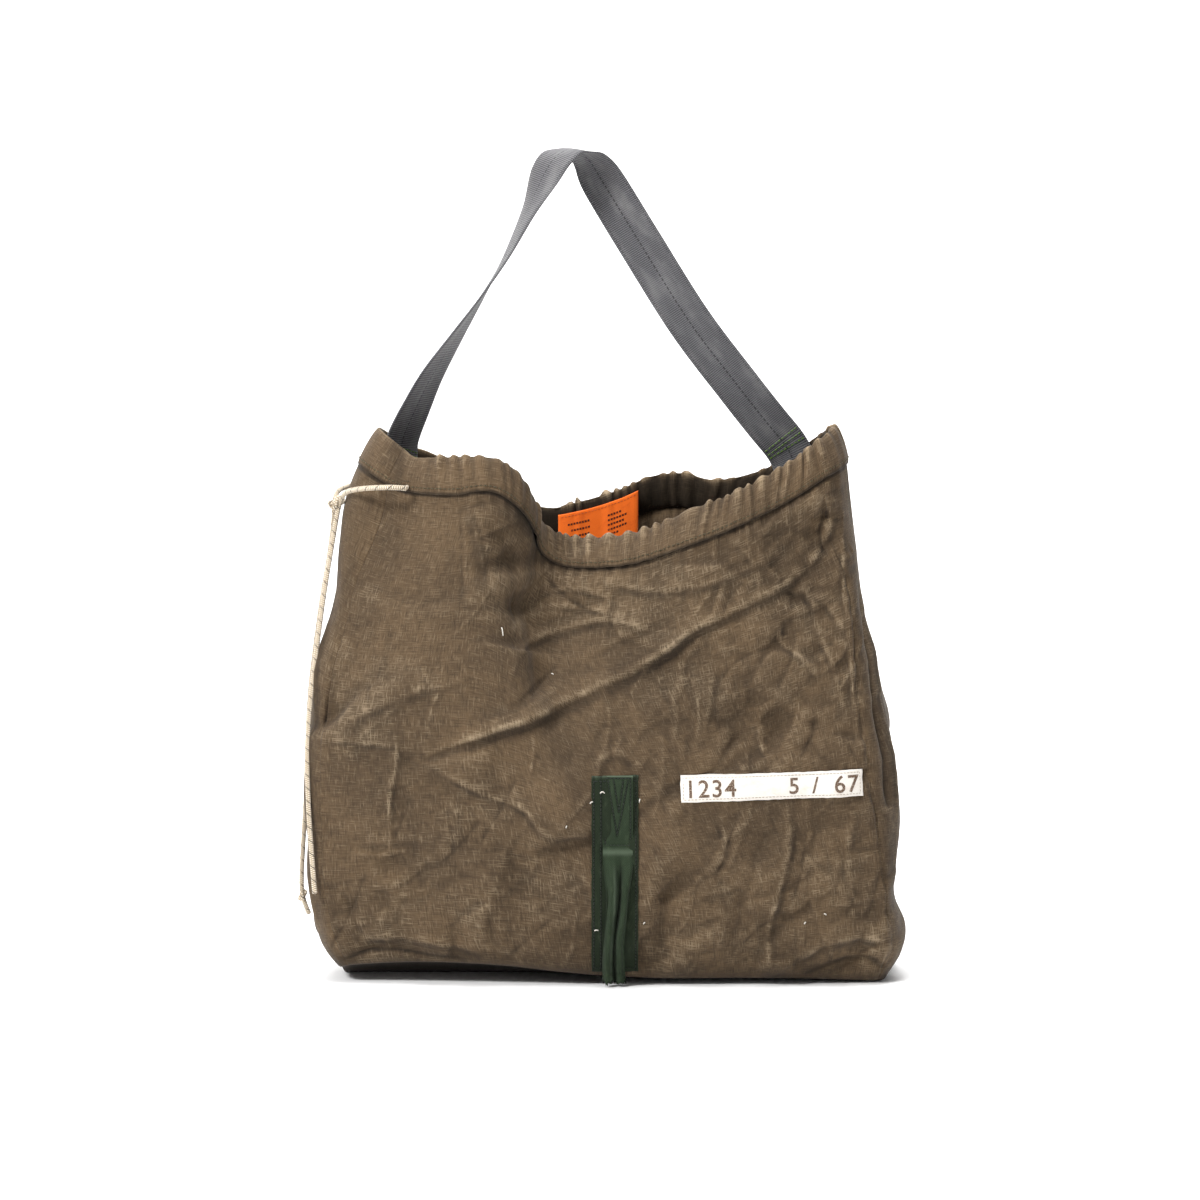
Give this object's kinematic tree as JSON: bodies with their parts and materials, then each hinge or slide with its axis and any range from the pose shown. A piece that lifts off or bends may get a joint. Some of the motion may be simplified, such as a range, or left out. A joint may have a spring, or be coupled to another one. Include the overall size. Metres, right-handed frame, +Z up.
{
  "type": "mail sack",
  "caption": "Canvas mail sack with a gathered drawcord mouth, webbing shoulder strap, number label and a hanging tie tape.",
  "frame": {"origin": "centre of the base, on the surface the sack stands on", "axes": "+Z up, front (with the number label and the green tape) faces -Y, +X to the right seen from the front"},
  "size_m": [0.5147, 0.1879, 0.7063],
  "materials": {
    "canvas": "waxed cotton canvas, worn pale along its creases",
    "casing_canvas": "waxed cotton canvas, gathered",
    "olive_thread": "heavy cotton thread",
    "cream_cord": "braided cotton cord with a dark tracer",
    "grey_webbing": "ribbed cotton webbing, worn",
    "green_thread": "heavy polyester thread",
    "green_tape": "herringbone cotton tape",
    "dark_thread": "cotton thread",
    "white_label": "woven cotton label",
    "white_thread": "cotton thread",
    "orange_label": "woven label",
    "orange_thread": "polyester thread"
  },
  "bodies": {
    "sack": {"front_panel": "canvas", "back_panel": "canvas", "left_gusset": "canvas", "right_gusset": "canvas", "bottom_panel": "canvas", "seam_front_left": "canvas", "seam_front_right": "canvas", "seam_back_left": "canvas", "seam_back_right": "canvas", "bottom_seam": "canvas", "front_casing": "casing_canvas", "back_casing": "casing_canvas", "left_casing": "casing_canvas", "right_casing": "casing_canvas", "hem_thread_front": "olive_thread", "hem_thread_back": "olive_thread", "hem_thread_left": "olive_thread", "hem_thread_right": "olive_thread", "cord_eyelet_front": "olive_thread", "cord_eyelet_back": "olive_thread", "drawcord_in_casing": "cream_cord", "drawcord_front_tail": "cream_cord", "drawcord_back_tail": "cream_cord", "drawcord_knot": "cream_cord", "tail_end_knot": "cream_cord", "strap_end_left": "grey_webbing", "strap_end_right": "grey_webbing", "strap_thread_left": "green_thread", "strap_thread_right": "green_thread", "tape_base": "green_tape", "tie_tape_sewn_end": "green_tape", "tape_thread": "dark_thread", "tie_bar_tack": "dark_thread", "number_label": "white_label", "number_label_thread": "white_thread", "care_label": "orange_label", "care_label_thread": "orange_thread"},
    "strap": {"shoulder_strap": "grey_webbing"},
    "tie_tape": {"tie_tape": "green_tape"}
  },
  "joints": [
    {"name": "strap_swing", "type": "hinge", "parent": "sack", "child": "strap", "pos_m": [0, 0.03, 0.486], "axis": [1, 0, 0], "range_deg": [-80, 80]},
    {"name": "tie_tape_swing", "type": "hinge", "parent": "sack", "child": "tie_tape", "pos_m": [0.013, -0.09155, 0.116], "axis": [-1, 0, 0], "range_deg": [0, 150]}
  ]
}
